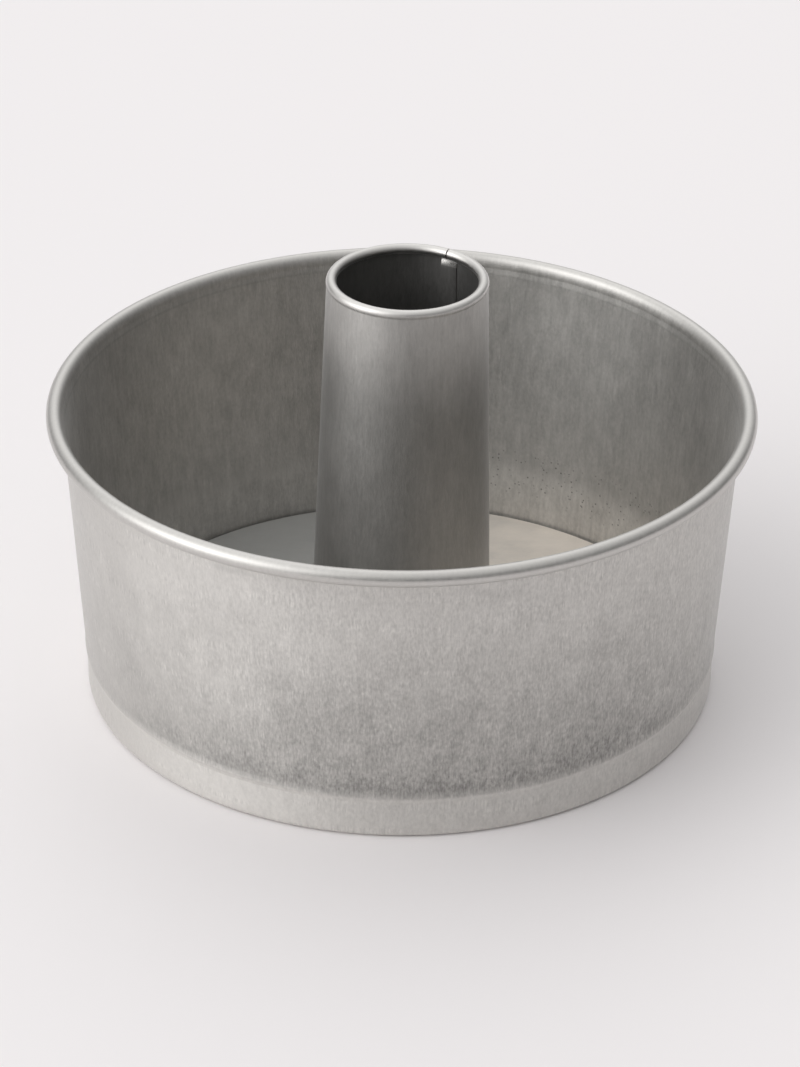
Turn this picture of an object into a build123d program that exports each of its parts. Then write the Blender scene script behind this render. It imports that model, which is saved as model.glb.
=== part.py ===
from build123d import *
from math import cos, radians, sin
import os

# Angel food cake pan with a loose bottom, in millimetres.
# A deep tapered ring stands on the table. A flat plate with a tube through its middle drops in from
# above and rests on the ring's hemmed lip.
# The origin is on the table, on the pan's axis, and +Z points up.

# Outer ring: one drawn shell, open at the bottom
ring_sheet = 0.9
ring_height = 83.0
rim_inner_diameter = 180.0      # inside the rolled rim, the pan's nominal size
rim_bead_diameter = 4.5
rim_bead_start = 180            # degrees, where the wall runs into the bead
rim_bead_turn = 285             # degrees that the edge rolls outward and round
rim_bead_rise = 1.2             # upright stretch of wall just below the bead
flare_offset = 0.65             # how far the wall widens just under the bead
flare_height = 2.2
flare_bend = 2.1                # inside bend radius of the flare
band_diameter = 171.4           # outside of the upright band at the foot of the wall
step_height = 11.4
step_offset = 0.4               # how far the wall stands out over the band
step_length = 1.4
step_bend = 0.6                 # inside bend radius of the step
corner_bend = 0.9               # inside bend radius at the table
lip_width = 7.0
hem_gap = 0.6                   # from the folded edge to the start of the corner bend

# Base plate: a flat disc with a hole for the tube
plate_sheet = 1.0
plate_clearance = 0.8           # all round, between the disc and the band
plate_edge_round = 0.2
plate_hole_clearance = 0.05

# Centre tube: rolled from sheet, wider at its foot
tube_sheet = 0.7
tube_height = 118.5
tube_foot_diameter = 49.4
tube_top_diameter = 42.5        # outside, just below the curled edge
curl_diameter = 2.8
curl_start = 0                  # degrees, where the tube runs into the curl
curl_turn = 255                 # degrees that the edge curls inward and round
curl_bend = 0.7                 # inside bend radius where the tube swells to the curl
curl_swell = 0.2                # how far the curl stands proud of the tube
curl_swell_height = 1.0
curl_rise = 0.5                 # upright stretch of tube just below the curl
flange_width = 3.0
swage_height = 3.2              # bead rolled out of the tube just above the plate
swage_stand = 0.8
swage_bend = 0.5                # inside bend radius of the swaged bead

# Lock seam down the inside of the tube, and the line that it leaves outside
seam_angle = 57                 # degrees from +X towards +Y
seam_width = 4.6
seam_thickness = 1.3            # the folded layers that stand in from the tube's wall
seam_end_slope = 3.0
seam_end_gap = 0.3
seam_line_width = 0.3
seam_line_depth = 0.2
cut_overrun = 1.0

# Radii and heights that follow from the sizes above
band_radius = band_diameter / 2
wall_foot_radius = band_radius + step_offset
bead_radius = rim_bead_diameter / 2
bead_height = ring_height - bead_radius
rim_wall_radius = rim_inner_diameter / 2 + ring_sheet
bead_center_radius = rim_inner_diameter / 2 + bead_radius
wall_top_radius = rim_wall_radius - flare_offset
flare_top = bead_height - rim_bead_rise
flare_foot = flare_top - flare_height
hem_nose_radius = band_radius - lip_width + ring_sheet
corner_center_radius = band_radius - ring_sheet - corner_bend
hem_width = corner_center_radius - hem_gap - hem_nose_radius

plate_seat = 2 * ring_sheet
plate_top = plate_seat + plate_sheet
plate_radius = band_radius - ring_sheet - plate_clearance

tube_foot_radius = tube_foot_diameter / 2
tube_top_radius = tube_top_diameter / 2
curl_radius = curl_diameter / 2
curl_height = tube_height - curl_radius
curl_outer_radius = tube_top_radius + curl_swell
curl_foot = curl_height - curl_rise - curl_swell_height
swage_top = plate_top + swage_height
plate_hole_radius = tube_foot_radius + plate_hole_clearance
flange_radius = tube_foot_radius + flange_width


def tube_outside(height):
    """Outside radius of the tube's straight taper at a height above the table."""
    share = (height - swage_top) / (curl_foot - swage_top)
    return tube_foot_radius + share * (tube_top_radius - tube_foot_radius)


def curled_edge(center, outside_radius, sheet, start, turn):
    """Section of a sheet's edge rolled round a center, from a start angle through a turn in degrees."""
    with BuildSketch() as curl:
        with BuildLine() as curl_line:
            outside = CenterArc(center, outside_radius, start, turn)
            inside = CenterArc(center, outside_radius - sheet, start, turn)
            Line(outside @ 0, inside @ 0)
            Line(outside @ 1, inside @ 1)
        make_face()
    return curl.sketch


# Outer ring: the outside face of the sheet is drawn from the lip's nose to the rolled edge
ring_outside = [
    (hem_nose_radius, 0),
    (band_radius, 0),
    (band_radius, step_height - step_length / 2),
    (wall_foot_radius, step_height + step_length / 2),
    (wall_top_radius, flare_foot),
    (rim_wall_radius, flare_top),
    (rim_wall_radius, bead_height),
]
ring_bends = [
    corner_bend + ring_sheet,
    step_bend,
    step_bend + ring_sheet,
    flare_bend,
    flare_bend + ring_sheet,
]

with BuildPart() as outer_ring:
    with BuildSketch(Plane.XZ) as ring_section:
        with BuildLine() as ring_line:
            FilletPolyline(*ring_outside, radius=ring_bends)
            offset(amount=ring_sheet, side=Side.LEFT)
        make_face()
        bead_center = (bead_center_radius, bead_height)
        add(curled_edge(bead_center, bead_radius, ring_sheet, rim_bead_start, -rim_bead_turn))
        # The lip's edge is folded up and back on itself into a closed hem
        with Locations((hem_nose_radius, ring_sheet)):
            Circle(ring_sheet)
            Rectangle(hem_width, ring_sheet, align=(Align.MIN, Align.MIN))
    revolve(axis=Axis.Z)

# Base plate: it lies on the hem, with its edge broken all round
with BuildPart() as base_plate:
    with BuildSketch(Plane.XY.offset(plate_seat)) as plate_outline:
        Circle(plate_radius)
        Circle(plate_hole_radius, mode=Mode.SUBTRACT)
    extrude(amount=plate_sheet)
    fillet(base_plate.edges().filter_by(GeomType.CIRCLE).group_by(SortBy.RADIUS)[-1], plate_edge_round)

# Centre tube: the outside face of the sheet is drawn from the flange under the plate to the curled edge
tube_outside_line = [
    (flange_radius, plate_seat),
    (tube_foot_radius, plate_seat),
    (tube_foot_radius, plate_top),
    (tube_foot_radius + swage_stand, (plate_top + swage_top) / 2),
    (tube_foot_radius, swage_top),
    (tube_top_radius, curl_foot),
    (curl_outer_radius, curl_foot + curl_swell_height),
    (curl_outer_radius, curl_height),
]
tube_bends = [
    0,
    0,
    swage_bend + tube_sheet,
    swage_bend,
    curl_bend,
    curl_bend + tube_sheet,
]

with BuildPart() as centre_tube:
    with BuildSketch(Plane.XZ) as tube_section:
        with BuildLine() as tube_line:
            FilletPolyline(*tube_outside_line, radius=tube_bends)
            offset(amount=tube_sheet, side=Side.LEFT)
        make_face()
        curl_center = (curl_outer_radius - curl_radius, curl_height)
        add(curled_edge(curl_center, curl_radius, tube_sheet, curl_start, curl_turn))
    revolve(axis=Axis.Z)

    # Lock seam: a flat strip of folded layers against the inside, with a sloped upper end
    seam_direction = (cos(radians(seam_angle)), sin(radians(seam_angle)), 0)
    seam_side = (sin(radians(seam_angle)), -cos(radians(seam_angle)), 0)
    seam_plane = Plane(origin=(0, 0, 0), x_dir=seam_direction, z_dir=seam_side)
    seam_foot = swage_top
    seam_top = curl_height - curl_radius - seam_end_gap
    seam_back = tube_sheet / 2
    seam_face = tube_sheet + seam_thickness
    with BuildSketch(seam_plane) as seam_section:
        with BuildLine() as seam_outline:
            Polyline(
                (tube_outside(seam_foot) - seam_back, seam_foot),
                (tube_outside(seam_top) - seam_back, seam_top),
                (tube_outside(seam_top) - tube_sheet, seam_top),
                (tube_outside(seam_top - seam_end_slope) - seam_face, seam_top - seam_end_slope),
                (tube_outside(seam_foot) - seam_face, seam_foot),
                close=True,
            )
        make_face()
    extrude(amount=seam_width / 2, both=True)

    # The folded joint shows outside as a fine line from the swage to the curl
    with BuildSketch(seam_plane) as seam_line_section:
        with BuildLine() as seam_line_outline:
            Polyline(
                (tube_outside(seam_foot) - seam_line_depth, seam_foot),
                (tube_outside(curl_foot) - seam_line_depth, curl_foot),
                (tube_outside(curl_foot) + cut_overrun, curl_foot),
                (tube_outside(seam_foot) + cut_overrun, seam_foot),
                close=True,
            )
        make_face()
    extrude(amount=seam_line_width / 2, both=True, mode=Mode.SUBTRACT)

    # The curled edge stops short of meeting itself where the sheet's two ends join
    with BuildSketch(seam_plane) as curl_cut_section:
        with Locations((curl_outer_radius + cut_overrun, curl_height)):
            Rectangle(
                curl_diameter + 2 * cut_overrun,
                curl_radius + cut_overrun,
                align=(Align.MAX, Align.MIN),
            )
    extrude(amount=seam_line_width / 2, both=True, mode=Mode.SUBTRACT)

outer_ring.part.label = "outer_ring"
base_plate.part.label = "base_plate"
centre_tube.part.label = "centre_tube"

os.makedirs("parts", exist_ok=True)
export_step(outer_ring.part, "parts/outer_ring.step")
export_step(base_plate.part, "parts/base_plate.step")
export_step(centre_tube.part, "parts/centre_tube.step")
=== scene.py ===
from math import ceil, cos, dist, pi, radians, sin, tan

import bpy
from mathutils import Matrix, Vector, noise


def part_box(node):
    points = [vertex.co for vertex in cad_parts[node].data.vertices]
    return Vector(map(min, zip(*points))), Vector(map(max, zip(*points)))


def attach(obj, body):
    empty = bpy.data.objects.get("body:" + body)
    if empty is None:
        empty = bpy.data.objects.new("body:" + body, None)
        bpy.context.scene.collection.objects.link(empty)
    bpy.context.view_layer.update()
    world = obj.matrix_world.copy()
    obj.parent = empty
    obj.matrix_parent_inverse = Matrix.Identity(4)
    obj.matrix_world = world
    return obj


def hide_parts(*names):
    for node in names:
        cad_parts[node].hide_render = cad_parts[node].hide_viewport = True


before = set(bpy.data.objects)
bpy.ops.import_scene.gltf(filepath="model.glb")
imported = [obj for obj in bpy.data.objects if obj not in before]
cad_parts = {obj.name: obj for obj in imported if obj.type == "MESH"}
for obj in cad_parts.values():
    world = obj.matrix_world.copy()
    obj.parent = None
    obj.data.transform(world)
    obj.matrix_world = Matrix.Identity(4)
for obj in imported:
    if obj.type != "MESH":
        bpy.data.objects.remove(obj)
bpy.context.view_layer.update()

# Lengths are in metres. The pan stands on the floor at z = 0, with its axis on Z.
MM = 0.001

# Outer corners of the pan's three pieces
_, ring_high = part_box("outer_ring")
plate_low, plate_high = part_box("base_plate")
_, tube_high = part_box("centre_tube")

# Outer ring
ring_sheet = 0.9 * MM
rim_radius = ring_high.x
ring_height = ring_high.z
bead_radius = 2.25 * MM
bead_start = 180
bead_turn = 285
flare_offset = 0.65 * MM
flare_height = 2.2 * MM
flare_rise = 1.2 * MM
flare_bend = 2.2 * MM
rim_wall_bend = 3.0 * MM
bead_squash = 0.87
bead_blend_steps = 8
curl_blend_steps = 5
inside_flare_height = 1.8 * MM
inside_flare_rise = 1.2 * MM
inside_flare_offset = 0.3 * MM
inside_rim_bend = 3.0 * MM
inside_bead_drop = 0.8 * MM
band_radius = 85.7 * MM
step_height = 11.4 * MM
step_offset = 0.4 * MM
step_length = 1.4 * MM
step_ridge = 0.12 * MM
step_ridge_length = 1.6 * MM
step_foot_bend = 0.9 * MM
step_top_bend = 1.5 * MM
inside_step_length = 9.0 * MM
inside_step_bend = 12.0 * MM
corner_bend = 1.8 * MM
lip_width = 7.0 * MM
hem_gap = 0.6 * MM
hem_start = 90
hem_turn = 180
fold_gap = 0.04 * MM

# Base plate
plate_radius = plate_high.x
plate_seat = plate_low.z
plate_top = plate_high.z
plate_edge = 0.22 * MM
plate_hole = 24.75 * MM

# Centre tube
tube_sheet = 0.7 * MM
tube_height = tube_high.z
flange_radius = tube_high.x
tube_foot_radius = 24.7 * MM
tube_top_radius = 21.25 * MM
tube_lean = 1.25 * MM
curl_radius = 1.4 * MM
curl_turn = 255
curl_tuck = 27
curl_neck = 0.15 * MM
swage_height = 3.2 * MM
swage_stand = 0.8 * MM
swage_bend = 0.5 * MM
swage_crown = 1.2 * MM

# Lock seam down the tube
seam_angle = radians(57)
seam_width = 5.0 * MM
seam_thickness = 0.8 * MM
seam_fold_bend = 0.16 * MM
seam_edge_bend = 0.12 * MM
seam_end_slope = 1.7 * MM
seam_end_gap = 0.3 * MM
seam_taper = 0.65
seam_line = 0.3 * MM
seam_line_depth = 0.2 * MM
seam_slit = 0.4 * MM
angle_digits = 6
same_angle = 10 ** -angle_digits

# Heights, angles and lengths that follow from the sizes above
swage_top = plate_top + swage_height
curl_foot = tube_height - 2 * curl_radius
seam_top = curl_foot - seam_end_gap
slit_half_turn = seam_slit / 2 / tube_top_radius
inner_run = 2 * rim_radius

# How the sheet strays from a true circle: lobes round the ring as count, phase and size, and dents
rim_lobes = ((2, 0.6, 0.12 * MM), (3, 2.1, 0.05 * MM), (5, 1.9, 0.03 * MM))
dent_height = 0.05 * MM
dent_size = 26 * MM
dent_fade_share = 0.9
tube_dent_height = 0.03 * MM

# Fineness of the meshes
ring_columns = 400
plate_columns = 240
tube_columns = 240
wall_step = 2.0 * MM
plate_step = 6.0 * MM
tube_step = 0.75 * MM
bend_steps = 6
bead_steps = 36
curl_steps = 28
sharp_angle = radians(48)
miter_limit = 0.5

# Finish: colours are linear, and tones multiply them
ring_color = (0.64, 0.625, 0.60)
plate_color = (0.44, 0.44, 0.425)
# Painted light: the plate's right part is painted paler, as if lit from the left, while its left part stays
# grey, as if shaded by the ring's wall; its warm tint is partly its own
plate_lit_color = (0.90, 0.83, 0.745)
plate_lit_start = -20.0 * MM
plate_lit_full = 50.0 * MM
plate_metallic = 0.2
tube_color = (0.44, 0.43, 0.415)
band_tone = 1.06
inside_tone = 0.76
rim_tone = 0.89
bore_tone = 0.46
curl_tone = 1.45
ring_roughness = 0.5
plate_roughness = 0.65
rim_roughness = 0.33
tube_roughness = 0.48
# Painted highlight: the seam's sloped end is painted much paler than the rest of the tube
seam_end_highlight_tone = 1.9
seam_end_roughness = 0.25
oxide_film = 0.15
oxide_roughness = 0.4
brush_spread = 0.6
brush_turn = 0.25
grain_height = 0.012 * MM
smooth_grain_share = 0.15

# Marks in the sheet: how wide and how long they are, and how much fine detail they have
grain_marks = (0.4 * MM, 1.6 * MM, 2.0)
streak_marks = (1.1 * MM, 7.0 * MM, 3.0)
cloud_marks = (14.0 * MM, 20.0 * MM, 3.0)
blotch_marks = (4.0 * MM, 6.0 * MM, 5.0)
mottle_marks = (0.8 * MM, 1.2 * MM, 5.0)
tick_marks = (0.5 * MM, 2.8 * MM, 1.0)
row_marks = (30.0 * MM, 3.0 * MM, 2.0)
noise_low = 0.3
noise_high = 0.7

# How much grain, streak, cloud, blotch and mottle show, in this order
outside_shares = (0.09, 0.03, 0.025, 0.035, 0.07)
inside_shares = (0.03, 0.055, 0.045, 0.055, 0.055)
tube_shares = (0.05, 0.055, 0.04, 0.04, 0.03)
plate_shares = (0.01, 0.01, 0.02, 0.02, 0.01)
rim_shares = (0.0, 0.0, 0.0, 0.0, 0.04)
relief_shares = (1.0, 0.0, 0.0, 0.0, 0.6)
fleck_shares = (-0.24, -0.1, 0.0, -0.13, -0.22)
rough_shares = (0.03, 0.0, 0.02, 0.0, 0.0)
haze_edge_shares = (0.0, 0.0, 8.0 * MM, 3.0 * MM, 0.0)
strip_edge_shares = (0.0, 0.0, 0.0, 2.5 * MM, 2.0 * MM)

# Dull stain over the band: a narrow dark strip, and a haze that fades upward; both are thinned towards the
# sides as painted light, where the wall is seen edge-on
stain_start = 12.3 * MM
stain_full = 14.6 * MM
stain_start_share = 0.45
strip_foot = 14.0 * MM
strip_top = 21.0 * MM
strip_depth = 0.15
haze_foot = 8.0 * MM
haze_top = 74.0 * MM
haze_depth = 0.27
haze_edge_light_start = 58.0 * MM
haze_edge_light_full = 84.0 * MM
haze_edge_light_share = 0.35
haze_roughness = 0.04
calm_side = -78.0 * MM
calm_end = -5.0 * MM
calm_share = 0.4
tick_low = 0.0
tick_high = 0.5
tick_depth = 0.09

# Wear marks on the front: start and end as x and height, width, and how much darker, or paler below zero
wear_marks = (
    ((-36.8 * MM, 27.4 * MM), (-32.8 * MM, 12.6 * MM), 0.5 * MM, -0.12),
    ((-48.0 * MM, 75.2 * MM), (-36.8 * MM, 76.0 * MM), 1.6 * MM, 0.08),
    ((16.5 * MM, 75.3 * MM), (30.7 * MM, 71.9 * MM), 2.0 * MM, 0.08),
)
wear_end_share = 0.25
front_reach = 10.0 * MM

# Dark specks low on the inside, at the back right, and painted shade in the crease under the rim
speck_spacing = 1.3 * MM
speck_core = 0.1
speck_edge = 0.3
speck_pick = 0.25
speck_thin = -0.55
speck_thick = 0.15
speck_depth = 0.55
speck_low = 8.0 * MM
speck_high = 26.0 * MM
speck_fade = 4.0 * MM
speck_reach = 25.0 * MM
crease_shade_height = 78.0 * MM
crease_shade_width = 0.6 * MM
crease_shade_depth = 0.11
inside_foot_low = 16.0 * MM
inside_foot_high = 21.0 * MM
inside_foot_tone = 1.25
inside_foot_left_tone = 1.12
tube_pale_foot = 88.0 * MM
tube_pale_top = 112.0 * MM
tube_pale_tone = 1.25

# Stage and light
floor_color = (0.88, 0.851, 0.856, 1)
floor_roughness = 0.6
floor_radius = 8.0
floor_sides = 96
light_color = (1, 1, 1, 1)
base_light = 0.115
# Each soft light's azimuth and elevation in degrees, its strength, and how narrow it is
soft_lights = ((202, 25, 2.26, 5.5), (95, 35, 0.82, 4.5), (0, 90, 0.78, 1.4))

# Camera: the picture is 800 by 1067 pixels, and the focal length is given in those pixels
photo_height_px = 1067
focal_length_px = 3870
sensor_side_mm = 36
camera_elevation = radians(29.63)
camera_roll = radians(0.457)
camera_distance = 1.0486
camera_target = Vector((-0.0002, 0, 0.0413))
nearest_seen = 0.05
furthest_seen = 20.0


# Sections are drawn as points of radius and height
def arc(center, radius, start, turn, steps):
    """Points of an arc, from a start angle through a turn in degrees."""
    angles = [radians(start + turn * step / steps) for step in range(steps + 1)]
    return [(center[0] + radius * cos(a), center[1] + radius * sin(a)) for a in angles]


def bent_path(corners, bends):
    """A line through corners, each inner one rounded to its bend radius."""
    path = [tuple(corners[0])]
    for before, here, after, bend in zip(corners, corners[1:], corners[2:], bends):
        corner = Vector(here)
        back = (Vector(before) - corner).normalized()
        onward = (Vector(after) - corner).normalized()
        half = back.angle(onward) / 2
        if bend == 0:
            path.append(tuple(corner))
            continue
        center = corner + (back + onward).normalized() * bend / sin(half)
        first = corner + back * bend / tan(half) - center
        last = corner + onward * bend / tan(half) - center
        turn = first.angle_signed(last)
        for step in range(bend_steps + 1):
            path.append(tuple(center + Matrix.Rotation(-turn * step / bend_steps, 2) @ first))
    path.append(tuple(corners[-1]))
    return path


def split_long(path, longest):
    """The same line, with points added where two lie further apart than the longest step."""
    out = [path[0]]
    for a, b in zip(path, path[1:]):
        parts = max(1, ceil(dist(a, b) / longest))
        for part in range(1, parts + 1):
            share = part / parts
            out.append((a[0] + (b[0] - a[0]) * share, a[1] + (b[1] - a[1]) * share))
    return out


def offset_left(path, distances):
    """The line moved to its left, by one distance for each point."""
    out = []
    for index, point in enumerate(path):
        here = Vector(point)
        before = Vector(path[max(index - 1, 0)])
        after = Vector(path[min(index + 1, len(path) - 1)])
        directions = [(b - a).normalized() for a, b in ((before, here), (here, after)) if a != b]
        normals = [Vector((-way.y, way.x)) for way in directions]
        normal = sum(normals, Vector((0, 0))).normalized()
        out.append(tuple(here + normal * distances[index] / max(normal.dot(normals[0]), miter_limit)))
    return out


def run_lengths(path):
    """Length along the line from its start to each point."""
    lengths = [0]
    for a, b in zip(path, path[1:]):
        lengths.append(lengths[-1] + dist(a, b))
    return lengths


def sheet_runs(outside, inside):
    """Length along both faces of a sheet, the inner one's set far on so that its marks differ."""
    return run_lengths(outside) + [run + inner_run for run in run_lengths(inside)]


def smooth_step(low, high, value):
    """A smooth change from 0 at the low value to 1 at the high one."""
    share = min(max((value - low) / (high - low), 0), 1)
    return share * share * (3 - 2 * share)


def at_angle(angle, radius, height):
    """A point at an angle round the axis, a radius from it and a height."""
    return (radius * cos(angle), radius * sin(angle), height)


def turned_faces(rows, columns):
    """Quads of a closed section with so many rows, swept all round through so many columns."""
    faces = []
    for column in range(columns):
        following = (column + 1) % columns
        for row in range(rows):
            up = (row + 1) % rows
            quad = (column * rows + row, following * rows + row, following * rows + up, column * rows + up)
            faces.append(quad)
    return faces


def new_piece(name, vertices, faces, body, node):
    """A smooth-shaded piece that stands for a node of the frame and moves with its body."""
    mesh = bpy.data.meshes.new(name)
    mesh.from_pydata(vertices, [], faces)
    mesh.shade_smooth()
    mesh.set_sharp_from_angle(angle=sharp_angle)
    piece = bpy.data.objects.new(name, mesh)
    bpy.context.scene.collection.objects.link(piece)
    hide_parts(node)
    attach(piece, body)
    return piece


def add_values(piece, name, kind, values):
    """A named value or vector for each point of the piece's mesh."""
    attribute = piece.data.attributes.new(name, kind, "POINT")
    attribute.data.foreach_set("vector" if kind == "FLOAT_VECTOR" else "value", values)


def add_sheet_place(piece, columns, radius, runs):
    """Where each point lies on the flat sheet, wrapped round a straight cylinder, for the grain."""
    flat = []
    for angle in columns:
        for run in runs:
            flat.extend(at_angle(angle, radius, run))
    add_values(piece, "sheet_place", "FLOAT_VECTOR", flat)


# Outer ring
def ring_face(step_corners, step_bends, rise, height, widening, rim_bend, drop):
    """One face of the ring's sheet, from the folded edge of its lip to the end of its rolled rim.

    The wall widens over a height that ends a rise below the bead, and the bead starts lower by a drop.
    """
    wall_radius = rim_radius - 2 * bead_radius + ring_sheet
    bead_height = ring_height - bead_radius
    nose_radius = band_radius - lip_width + ring_sheet
    fold_end = band_radius - corner_bend - hem_gap
    hem = [(fold_end, 2 * ring_sheet)]
    hem += arc((nose_radius, ring_sheet), ring_sheet, hem_start, hem_turn, bend_steps)
    corners = [
        (nose_radius, 0),
        (band_radius, 0),
        *step_corners,
        (wall_radius - widening, bead_height - rise - height),
        (wall_radius, bead_height - rise),
        (wall_radius, bead_height - drop),
    ]
    bends = [corner_bend, *step_bends, flare_bend, rim_bend]
    wall = split_long(bent_path(corners, bends), wall_step)
    roll = bead_radius - ring_sheet
    bead = []
    for radius, z in arc((wall_radius + roll, bead_height), roll, bead_start, -bead_turn, bead_steps):
        if z < bead_height:
            z = bead_height + (z - bead_height) * bead_squash
        elif radius < wall_radius + roll:
            z -= drop * (bead_height + roll - z) / roll
        bead.append((radius, z))
    return split_long(hem, wall_step)[:-1], wall, bead[1:]


def ring_outside():
    """The outer face, with a fine ridge pressed up just above the step."""
    wall_foot = band_radius + step_offset
    corners = [
        (band_radius, step_height - step_length / 2),
        (wall_foot + step_ridge, step_height + step_length / 2),
        (wall_foot, step_height + step_length / 2 + step_ridge_length),
    ]
    bends = [step_foot_bend, step_foot_bend, step_top_bend]
    return ring_face(corners, bends, flare_rise, flare_height, flare_offset, rim_wall_bend, 0)


def ring_inside():
    """The line that the inner face is offset from, where the step is only a soft swell."""
    low = step_height - inside_step_length / 2
    high = step_height + inside_step_length / 2
    corners = [(band_radius, low), (band_radius + step_offset, high)]
    bends = [inside_step_bend, inside_step_bend]
    flare = (inside_flare_rise, inside_flare_height, inside_flare_offset)
    return ring_face(corners, bends, *flare, inside_rim_bend, inside_bead_drop)


def ring_stray(angle, height):
    """How far the wall strays outward from a true circle, which is nothing at its foot."""
    share = smooth_step(step_height, ring_height, height)
    lobes = sum(size * sin(count * angle + phase) for count, phase, size in rim_lobes)
    margin = sum(size for count, phase, size in rim_lobes)
    spot = Vector(at_angle(angle, rim_radius, height)) / dent_size
    dents = noise.noise(spot) * dent_height * smooth_step(0, step_height, height)
    dents *= 1 - smooth_step(dent_fade_share * ring_height, ring_height, height)
    return share * (lobes - margin) + dents


def make_ring():
    """The ring's sheet as one closed shell, with its values for the finish."""
    hem, wall, bead = ring_outside()
    outside = hem + wall + bead
    inner_hem, inner_wall, inner_bead = ring_inside()
    drawn = inner_hem + inner_wall + inner_bead
    sheets = [ring_sheet - fold_gap] * len(inner_hem) + [ring_sheet] * (len(drawn) - len(inner_hem))
    inside = offset_left(drawn, sheets)[::-1]
    loop = outside + inside
    columns = [2 * pi * step / ring_columns for step in range(ring_columns)]
    vertices = []
    for angle in columns:
        for radius, height in loop:
            vertices.append(at_angle(angle, radius + ring_stray(angle, height), height))
    faces = turned_faces(len(loop), len(columns))
    piece = new_piece("outer_ring_shell", vertices, faces, "ring", "outer_ring")
    add_sheet_place(piece, columns, band_radius, sheet_runs(outside, inside))
    outer = [1.0] * len(outside) + [0.0] * len(inside)
    add_values(piece, "outer_side", "FLOAT", outer * len(columns))
    rim = [smooth_step(0, bead_blend_steps, step) for step in range(len(inner_bead))][::-1]
    rim = [0.0] * len(outside) + rim + [0.0] * (len(inside) - len(rim))
    add_values(piece, "rim_bead", "FLOAT", rim * len(columns))
    return piece


# Base plate
def make_plate():
    """The flat disc with its broken edge."""
    corners = [
        (plate_hole, plate_seat),
        (plate_radius, plate_seat),
        (plate_radius, plate_top),
        (plate_hole, plate_top),
    ]
    loop = split_long(bent_path(corners, [plate_edge, plate_edge]), plate_step)
    columns = [2 * pi * step / plate_columns for step in range(plate_columns)]
    vertices = [at_angle(angle, radius, height) for angle in columns for radius, height in loop]
    faces = turned_faces(len(loop), len(columns))
    return new_piece("base_plate_disc", vertices, faces, "insert", "base_plate")


# Centre tube
def tube_outside():
    """The outer face of the tube's sheet, from the flange under the plate to the end of its curl."""
    tuck = radians(curl_tuck)
    curl_center = (tube_top_radius - curl_radius * cos(tuck), tube_height - curl_radius)
    wall_top = curl_center[1] - curl_radius * sin(tuck)
    corners = [
        (flange_radius, plate_seat),
        (tube_foot_radius, plate_seat),
        (tube_foot_radius, plate_top),
        (tube_foot_radius + swage_stand, (plate_top + swage_top) / 2),
        (tube_foot_radius, swage_top),
        (tube_top_radius, wall_top - curl_neck),
        (tube_top_radius, wall_top),
    ]
    bends = [0, 0, swage_crown, swage_bend, 0]
    wall = split_long(bent_path(corners, bends), tube_step)
    curl = arc(curl_center, curl_radius, -curl_tuck, curl_turn + curl_tuck, curl_steps)
    return wall, curl[1:]


def seam_inset(across, height):
    """How far the lock seam's fold stands in from the tube's inside."""
    half = seam_width / 2
    rise = smooth_step(-half, seam_fold_bend - half, across)
    rise *= 1 - smooth_step(half - seam_edge_bend, half, across)
    rise *= smooth_step(swage_top, swage_top + swage_height, height)
    rise *= min(max((seam_top - height) / seam_end_slope, 0), 1)
    return rise * seam_thickness * (1 - seam_taper * (half - across) / seam_width)


def seam_end(across, height):
    """Whether a point lies on the sloped upper end of the lock seam."""
    return abs(across) < seam_width / 2 and seam_top - seam_end_slope < height < seam_top


def seam_inlay(across, height):
    """Depth of the fine line that the seam leaves on the tube's outside."""
    if abs(across) > seam_line / 2 or not swage_top < height < curl_foot:
        return 0
    return seam_line_depth


def seam_columns():
    """Angles round the tube from one side of the slit to its other, close together at the seam."""
    half = seam_width / 2
    near = [-half - seam_edge_bend, -half]
    near += [seam_fold_bend * step / bend_steps - half for step in range(1, bend_steps + 1)]
    near += [-seam_slit, -seam_slit / 2, -seam_line / 2, seam_line / 2, seam_slit / 2, seam_slit, half / 2]
    near += [half - seam_edge_bend, half - seam_edge_bend / 2, half, half + seam_edge_bend]
    clear = (seam_width + seam_edge_bend) / tube_top_radius
    turns = [2 * pi * step / tube_columns for step in range(tube_columns)]
    turns = [turn for turn in turns if clear / 2 < turn < 2 * pi - clear / 2]
    turns += [across / tube_top_radius % (2 * pi) for across in near]
    return sorted({round(turn, angle_digits) for turn in turns})


def across_seam(turn):
    """How far an angle lies from the seam's middle along the tube's wall, below zero on one side."""
    return (turn if turn < pi else turn - 2 * pi) * tube_top_radius


def tube_point(turn, radius, height, relief):
    """A point of the tube's sheet, set in by its relief and moved by the tube's dents and lean."""
    spot = Vector(at_angle(seam_angle + turn, tube_foot_radius, height)) / dent_size
    dents = noise.noise(spot) * tube_dent_height * smooth_step(swage_top, tube_height / 2, height)
    x, y, z = at_angle(seam_angle + turn, radius + (dents - relief), height)
    lean = tube_lean * max(height - swage_top, 0) / (tube_height - swage_top)
    return (x + lean, y, z)


def tube_vertices(turns, outside, inside, curl_rows):
    """Points of the tube's closed section at every angle, with the seam's relief in its plain wall."""
    wall_rows = len(outside) - curl_rows
    vertices = []
    for turn in turns:
        across = across_seam(turn)
        for row, (radius, height) in enumerate(outside):
            relief = seam_inlay(across, height) if row < wall_rows else 0
            vertices.append(tube_point(turn, radius, height, relief))
        for row, (radius, height) in enumerate(inside):
            relief = seam_inset(across, height) if row >= curl_rows else 0
            vertices.append(tube_point(turn, radius, height, relief))
    return vertices


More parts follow.
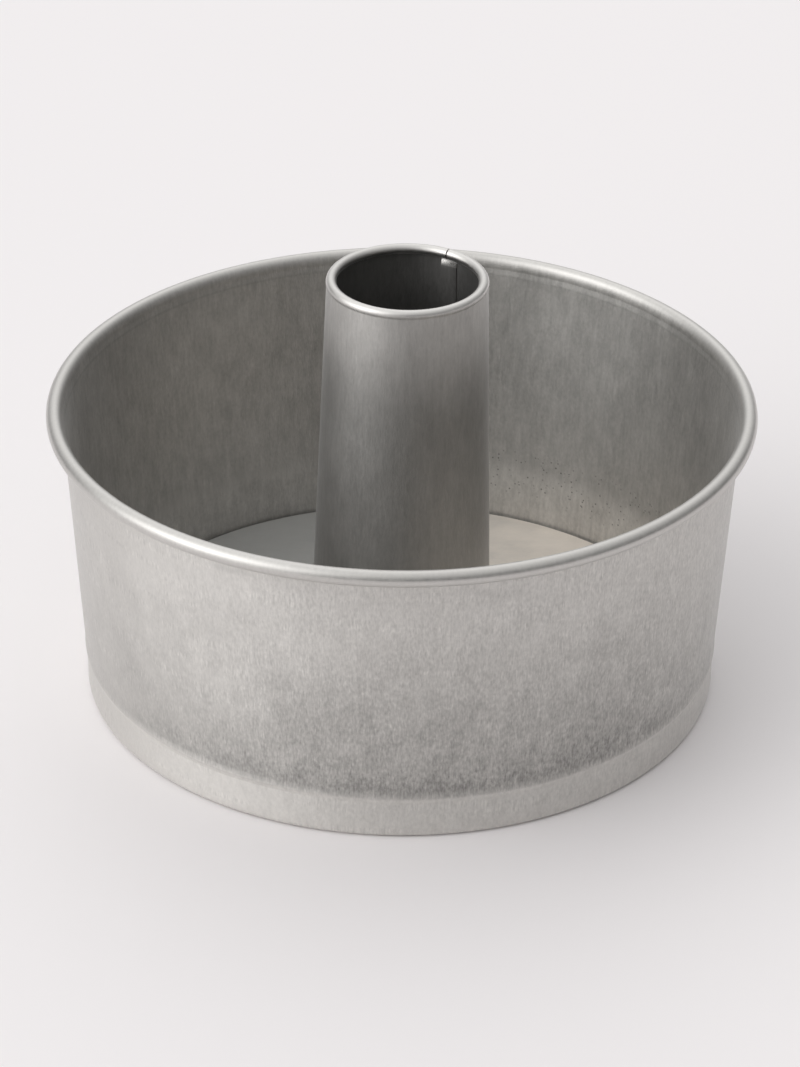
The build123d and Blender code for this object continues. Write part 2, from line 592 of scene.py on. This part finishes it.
def add_tube_values(piece, turns, outside, inside, curl_rows):
    """Values for the finish: place on the sheet, outer side, shiny curl and the seam's sloped end."""
    columns = [seam_angle + turn for turn in turns]
    add_sheet_place(piece, columns, tube_foot_radius, sheet_runs(outside, inside))
    sides = [1.0] * len(outside) + [0.0] * len(inside)
    add_values(piece, "outer_side", "FLOAT", sides * len(turns))
    plain = [0.0] * (len(outside) - curl_rows)
    blend = [smooth_step(0, curl_blend_steps, step) for step in range(curl_rows)]
    add_values(piece, "rim_bead", "FLOAT", (plain + blend + [1.0] * curl_rows + plain) * len(turns))
    ends = []
    for turn in turns:
        across = across_seam(turn)
        ends += [0.0] * (len(outside) + curl_rows)
        ends += [1.0 if seam_end(across, height) else 0.0 for radius, height in inside[curl_rows:]]
    add_values(piece, "seam_end", "FLOAT", ends)


def make_tube():
    """The tube's sheet as one closed shell, with its lock seam and the slit through its curl."""
    wall, curl = tube_outside()
    outside = wall + curl
    inside = offset_left(outside, [tube_sheet] * len(outside))[::-1]
    turns = seam_columns()
    rows = len(outside) + len(inside)
    vertices = tube_vertices(turns, outside, inside, len(curl))
    open_faces, caps = curl_slit(turns, rows, len(wall), len(curl))
    faces = [face for index, face in enumerate(turned_faces(rows, len(turns))) if index not in open_faces]
    faces += caps
    piece = new_piece("centre_tube_shell", vertices, faces, "insert", "centre_tube")
    add_tube_values(piece, turns, outside, inside, len(curl))
    return piece


def curl_slit(turns, rows, wall_rows, curl_rows):
    """The faces that the slit through the curl leaves out, and those that close its two sides."""
    left = sum(1 for turn in turns if turn < 2 * pi - slit_half_turn - same_angle)
    right = sum(1 for turn in turns if turn < slit_half_turn - same_angle)
    first = wall_rows - 1
    last = wall_rows + 2 * curl_rows
    open_columns = list(range(left, len(turns))) + list(range(right))
    open_faces = {column * rows + row for column in open_columns for row in range(first, last)}
    caps = []
    for column in open_columns:
        here = column * rows
        onward = (column + 1) % len(turns) * rows
        caps.append((here + first, onward + first, onward + last, here + last))
    for step in range(curl_rows):
        outer = (first + step, first + step + 1)
        inner = (last - step - 1, last - step)
        base = left * rows
        caps.append((base + outer[0], base + inner[1], base + inner[0], base + outer[1]))
        base = right * rows
        caps.append((base + outer[0], base + outer[1], base + inner[0], base + inner[1]))
    return open_faces, caps


# Materials
class Shading:
    """A new material and short names for the nodes that it is built from."""

    def __init__(self, name):
        self.material = bpy.data.materials.new(name)
        self.material.use_nodes = True
        self.tree = self.material.node_tree
        self.tree.nodes.clear()
        output = self.tree.nodes.new("ShaderNodeOutputMaterial")
        self.shader = self.tree.nodes.new("ShaderNodeBsdfPrincipled")
        self.tree.links.new(self.shader.outputs[0], output.inputs[0])

    def node(self, kind, inputs=None, **settings):
        """A node of this material, as add_node makes it."""
        return add_node(self.tree, kind, inputs, **settings)

    def attribute(self, name, output):
        """A value that the mesh carries at its points."""
        return self.node("ShaderNodeAttribute", attribute_name=name).outputs[output]

    def object_place(self):
        """Where a point lies on the pan, as x, y and z."""
        place = self.node("ShaderNodeTexCoord").outputs["Object"]
        return self.node("ShaderNodeSeparateXYZ", {0: place}).outputs[0:3]

    def math(self, operation, a, b=0.0):
        return self.node("ShaderNodeMath", {0: a, 1: b}, operation=operation).outputs[0]

    def ranged(self, value, low, high, to_low, to_high):
        """A smooth change from one value to another while the input goes from low to high."""
        inputs = {0: value, 1: low, 2: high, 3: to_low, 4: to_high}
        return self.node("ShaderNodeMapRange", inputs, interpolation_type="SMOOTHSTEP").outputs[0]

    def stretched(self, place, across, along):
        """The place counted in marks, so wide across the sheet and so long along it."""
        scale = (1 / across, 1 / across, 1 / along)
        return self.node("ShaderNodeVectorMath", {0: place, 1: scale}, operation="MULTIPLY").outputs[0]

    def pattern(self, place, across, along, detail):
        """Noise from -1 to 1 whose marks are about so wide and so long."""
        inputs = {"Vector": self.stretched(place, across, along), "Scale": 1.0, "Detail": detail}
        value = self.node("ShaderNodeTexNoise", inputs).outputs["Fac"]
        inputs = {0: value, 1: noise_low, 2: noise_high, 3: -1.0, 4: 1.0}
        return self.node("ShaderNodeMapRange", inputs).outputs[0]

    def patterns(self, place):
        """Grain, streak, cloud, blotch and mottle of a sheet."""
        kinds = (grain_marks, streak_marks, cloud_marks, blotch_marks, mottle_marks)
        return [self.pattern(place, *marks) for marks in kinds]

    def varied(self, start, layers, shares):
        """A start value with layers added to it, each by its own share."""
        value = start
        for layer, share in zip(layers, shares):
            if share != 0:
                value = self.math("ADD", value, self.math("MULTIPLY", layer, share))
        return value

    def darkened(self, tone, mask, depth):
        """The tone, lowered by a share of itself where the mask is 1."""
        return self.math("MULTIPLY", tone, self.varied(1.0, [mask], [-depth]))

    def along_line(self, x, z, start, end, width):
        """One on a line between two points given by x and height, and zero away from it."""
        length = dist(start, end)
        run = (end[0] - start[0]) / length
        climb = (end[1] - start[1]) / length
        aside = self.varied(start[1] * run - start[0] * climb, [x, z], [climb, -run])
        onward = self.varied(-start[0] * run - start[1] * climb, [x, z], [run, climb])
        mask = self.ranged(self.math("ABSOLUTE", aside), 0.0, width, 1.0, 0.0)
        fade = length * wear_end_share
        mask = self.math("MULTIPLY", mask, self.ranged(onward, 0.0, fade, 0.0, 1.0))
        return self.math("MULTIPLY", mask, self.ranged(onward, length - fade, length, 1.0, 0.0))

    def blended(self, share, a, b):
        """Value a where the share is 0, and b where it is 1."""
        return self.node("ShaderNodeMix", {0: share, 2: a, 3: b}, data_type="FLOAT").outputs[0]

    def filmed(self):
        """The fine dull film on used aluminium, which shows where the sheet is seen edge-on."""
        self.shader.inputs["Sheen Weight"].default_value = oxide_film
        self.shader.inputs["Sheen Roughness"].default_value = oxide_roughness

    def finish(self, color, tone, roughness, relief, relief_height, metallic=1.0):
        """The material itself: its colour times its tone, its roughness and its fine relief."""
        inputs = {0: color, "Scale": tone}
        tint = self.node("ShaderNodeVectorMath", inputs, operation="SCALE").outputs[0]
        self.tree.links.new(tint, self.shader.inputs["Base Color"])
        self.tree.links.new(roughness, self.shader.inputs["Roughness"])
        self.shader.inputs["Metallic"].default_value = metallic
        inputs = {"Height": relief, "Distance": relief_height}
        bump = self.node("ShaderNodeBump", inputs).outputs[0]
        self.tree.links.new(bump, self.shader.inputs["Normal"])
        return self.material

    def brush(self, spread, turn):
        """How much more light spreads along one way than the other, and which way that is."""
        self.shader.inputs["Anisotropic"].default_value = spread
        self.shader.inputs["Anisotropic Rotation"].default_value = turn
        tangent = self.node("ShaderNodeTangent", direction_type="RADIAL", axis="Z").outputs[0]
        self.tree.links.new(tangent, self.shader.inputs["Tangent"])


def add_node(tree, kind, inputs=None, **settings):
    """A node with its settings and inputs, each input a value or another node's output socket."""
    made = tree.nodes.new(kind)
    for key, value in settings.items():
        setattr(made, key, value)
    for key, value in (inputs or {}).items():
        if isinstance(value, bpy.types.NodeSocket):
            tree.links.new(value, made.inputs[key])
        else:
            made.inputs[key].default_value = value
    return made


def stained(s, tone, place, x, y, z, patterns, lively):
    """The outside's tone with the stain over the band, thinned at the sides as painted light, and the wear
    marks, and the haze by itself.
    """
    haze = s.ranged(s.varied(z, patterns, haze_edge_shares), haze_foot, haze_top, 1.0, 0.0)
    # Painted light: the haze and the strip thin out towards both sides, so that the wall looks brighter
    # where it is seen edge-on
    sides = s.ranged(s.math("ABSOLUTE", x), haze_edge_light_start, haze_edge_light_full, 1.0, haze_edge_light_share)
    strip = s.ranged(s.varied(z, patterns, strip_edge_shares), strip_foot, strip_top, 1.0, 0.0)
    above = s.ranged(z, stain_start, stain_full, stain_start_share, 1.0)
    above = s.math("MULTIPLY", above, s.ranged(z, step_height, step_height + step_length, 0.0, 1.0))
    flecks = s.math("MULTIPLY", s.varied(0.0, patterns, fleck_shares), lively)
    flecks = s.math("MULTIPLY", above, s.math("ADD", flecks, 1.0))
    haze = s.math("MULTIPLY", haze, sides)
    strip = s.math("MULTIPLY", strip, s.math("MULTIPLY", sides, lively))
    for mark, depth in ((strip, strip_depth), (haze, haze_depth)):
        tone = s.darkened(tone, s.math("MULTIPLY", mark, flecks), depth)
    rows = s.ranged(s.pattern(place, *row_marks), tick_low, tick_high, 0.0, 1.0)
    tone = s.darkened(tone, s.math("MULTIPLY", rows, s.pattern(place, *tick_marks)), tick_depth)
    front = s.ranged(y, -front_reach, 0.0, 1.0, 0.0)
    for start, end, width, depth in wear_marks:
        mark = s.math("MULTIPLY", front, s.along_line(x, z, start, end, width))
        tone = s.darkened(tone, mark, depth)
    return tone, haze


def speckled(s, tone, place, x, y, z, patterns, blotch):
    """The inside's tone with the paler foot, the dark specks and painted shade in the crease under the rim.
    """
    foot = s.ranged(s.varied(z, patterns, strip_edge_shares), inside_foot_low, inside_foot_high, 1.0, 0.0)
    gain = s.ranged(x, -speck_reach, speck_reach, inside_foot_left_tone, inside_foot_tone)
    tone = s.math("MULTIPLY", tone, s.blended(foot, 1.0, gain))
    cells = s.stretched(place, speck_spacing, speck_spacing)
    spots = s.node("ShaderNodeTexVoronoi", {"Vector": cells, "Scale": 1.0}).outputs
    pick = s.node("ShaderNodeSeparateXYZ", {0: spots["Color"]}).outputs[0]
    specks = s.ranged(spots["Distance"], speck_core, speck_edge, 1.0, 0.0)
    specks = s.math("MULTIPLY", specks, s.math("GREATER_THAN", pick, speck_pick))
    specks = s.math("MULTIPLY", specks, s.ranged(blotch, speck_thin, speck_thick, 0.0, 1.0))
    reaches = ((z, speck_low, speck_low + speck_fade), (x, 0.0, speck_reach), (y, 0.0, speck_reach))
    for value, low, high in reaches:
        specks = s.math("MULTIPLY", specks, s.ranged(value, low, high, 0.0, 1.0))
    specks = s.math("MULTIPLY", specks, s.ranged(z, speck_high - speck_fade, speck_high, 1.0, 0.0))
    # Painted shade: a dark line along the crease under the rim
    away = s.math("ABSOLUTE", s.math("SUBTRACT", z, crease_shade_height))
    crease_shade = s.ranged(away, 0.0, crease_shade_width, 1.0, 0.0)
    return s.darkened(s.darkened(tone, specks, speck_depth), crease_shade, crease_shade_depth)


def ring_satin():
    """The ring's sheet: pale outside with a dull stained zone over the band, darker inside."""
    s = Shading("ring_satin")
    place = s.attribute("sheet_place", "Vector")
    outer = s.attribute("outer_side", "Fac")
    bead = s.attribute("rim_bead", "Fac")
    x, y, z = s.object_place()
    patterns = s.patterns(place)
    grain, streak, cloud, blotch, mottle = patterns
    above_band = s.ranged(z, step_height, step_height + step_length, 0.0, 1.0)
    grain = s.math("MULTIPLY", grain, s.blended(above_band, smooth_grain_share, 1.0))
    lively = s.ranged(x, calm_side, calm_end, calm_share, 1.0)
    outside = s.varied(0.0, [grain, streak, cloud, blotch, mottle], outside_shares)
    outside = s.math("MULTIPLY", outside, lively)
    outside = s.math("ADD", s.blended(above_band, band_tone, 1.0), outside)
    outside, haze = stained(s, outside, place, x, y, z, patterns, lively)
    inside = s.varied(inside_tone, patterns, inside_shares)
    inside = speckled(s, inside, place, x, y, z, patterns, blotch)
    tone = s.blended(outer, inside, outside)
    tone = s.blended(bead, tone, s.varied(rim_tone, patterns, rim_shares))
    roughness = s.varied(ring_roughness, patterns + [haze], rough_shares + (haze_roughness,))
    roughness = s.blended(bead, roughness, s.varied(rim_roughness, patterns, rim_shares))
    relief = s.varied(0.0, patterns, relief_shares)
    relief = s.math("MULTIPLY", relief, s.blended(bead, 1.0, smooth_grain_share))
    s.brush(brush_spread, brush_turn)
    s.filmed()
    return s.finish(ring_color, tone, roughness, relief, grain_height)


def plate_satin():
    """The plate's sheet: grey at the left, and warmer and paler at the right, the paleness painted light
    from the left and the warmth partly the plate's own.
    """
    s = Shading("plate_satin")
    x, y, z = s.object_place()
    patterns = s.patterns(s.node("ShaderNodeCombineXYZ", {0: y, 1: z, 2: x}).outputs[0])
    # Painted light: paler and warmer towards the right, where the light from the left falls
    lit_side = s.ranged(s.varied(x, patterns, haze_edge_shares), plate_lit_start, plate_lit_full, 0.0, 1.0)
    inputs = {0: lit_side, 4: plate_color, 5: plate_lit_color}
    color = s.node("ShaderNodeMix", inputs, data_type="VECTOR").outputs[1]
    tone = s.varied(1.0, patterns, plate_shares)
    roughness = s.varied(plate_roughness, patterns, rough_shares)
    return s.finish(color, tone, roughness, patterns[0], grain_height, plate_metallic)


def tube_satin():
    """The tube's sheet: dull, paler towards its shiny curled edge, and dark inside."""
    s = Shading("tube_satin")
    place = s.attribute("sheet_place", "Vector")
    outer = s.attribute("outer_side", "Fac")
    curl = s.attribute("rim_bead", "Fac")
    end = s.attribute("seam_end", "Fac")
    _, _, z = s.object_place()
    patterns = s.patterns(place)
    tone = s.varied(1.0, patterns, tube_shares)
    tone = s.math("MULTIPLY", tone, s.ranged(z, tube_pale_foot, tube_pale_top, 1.0, tube_pale_tone))
    tone = s.math("MULTIPLY", tone, s.blended(outer, bore_tone, 1.0))
    tone = s.blended(curl, tone, s.varied(curl_tone, patterns, rim_shares))
    # Painted highlight on the seam's sloped end
    tone = s.blended(end, tone, seam_end_highlight_tone)
    roughness = s.varied(tube_roughness, patterns, rough_shares)
    roughness = s.blended(curl, roughness, s.varied(rim_roughness, patterns, rim_shares))
    roughness = s.blended(end, roughness, seam_end_roughness)
    relief = s.math("MULTIPLY", patterns[0], s.blended(curl, 1.0, smooth_grain_share))
    s.brush(brush_spread, brush_turn)
    s.filmed()
    return s.finish(tube_color, tone, roughness, relief, grain_height)


# Stage: a plain pale floor
def make_floor():
    """A wide round floor under the pan."""
    mesh = bpy.data.meshes.new("floor")
    rim = [at_angle(2 * pi * step / floor_sides, floor_radius, 0) for step in range(floor_sides)]
    faces = [(0, 1 + step, 1 + (step + 1) % floor_sides) for step in range(floor_sides)]
    mesh.from_pydata([(0, 0, 0)] + rim, [], faces)
    floor = bpy.data.objects.new("floor", mesh)
    bpy.context.scene.collection.objects.link(floor)
    paper = Shading("pale_floor")
    paper.shader.inputs["Base Color"].default_value = floor_color
    paper.shader.inputs["Roughness"].default_value = floor_roughness
    floor.data.materials.append(paper.material)


# Light: a soft studio sky, bright at the left, and fainter at the back and overhead
def make_light():
    """A dim even sky with each soft light added to it as a round glow."""
    world = bpy.data.worlds.new("studio")
    bpy.context.scene.world = world
    world.use_nodes = True
    tree = world.node_tree
    tree.nodes.clear()
    way = add_node(tree, "ShaderNodeTexCoord").outputs["Generated"]
    level = base_light
    for azimuth, elevation, strength, focus in soft_lights:
        toward = at_angle(radians(azimuth), cos(radians(elevation)), sin(radians(elevation)))
        facing = add_node(tree, "ShaderNodeVectorMath", {0: way, 1: toward}, operation="DOT_PRODUCT")
        facing = add_node(tree, "ShaderNodeMath", {0: facing.outputs["Value"], 1: 0.0}, operation="MAXIMUM")
        lobe = add_node(tree, "ShaderNodeMath", {0: facing.outputs[0], 1: focus}, operation="POWER")
        inputs = {0: lobe.outputs[0], 1: strength, 2: level}
        level = add_node(tree, "ShaderNodeMath", inputs, operation="MULTIPLY_ADD").outputs[0]
    light = add_node(tree, "ShaderNodeBackground", {0: light_color, 1: level})
    output = tree.nodes.new("ShaderNodeOutputWorld")
    tree.links.new(light.outputs[0], output.inputs[0])


# Camera: in front of the pan, looking down at it
def make_camera():
    """The camera, turned to its target and rolled a little about its line of sight."""
    data = bpy.data.cameras.new("camera")
    data.sensor_width = sensor_side_mm
    data.lens = focal_length_px * sensor_side_mm / photo_height_px
    camera = bpy.data.objects.new("camera", data)
    bpy.context.scene.collection.objects.link(camera)
    back = Vector((0, -cos(camera_elevation), sin(camera_elevation)))
    camera.location = camera_target + back * camera_distance
    camera.rotation_mode = "QUATERNION"
    level = (-back).to_track_quat("-Z", "Y")
    camera.rotation_quaternion = level @ Matrix.Rotation(camera_roll, 3, "Z").to_quaternion()
    data.clip_start = nearest_seen
    data.clip_end = furthest_seen
    bpy.context.scene.camera = camera


ring = make_ring()
plate = make_plate()
tube = make_tube()
ring.data.materials.append(ring_satin())
plate.data.materials.append(plate_satin())
tube.data.materials.append(tube_satin())
make_floor()
make_light()
make_camera()
bpy.context.scene.view_settings.view_transform = "Standard"
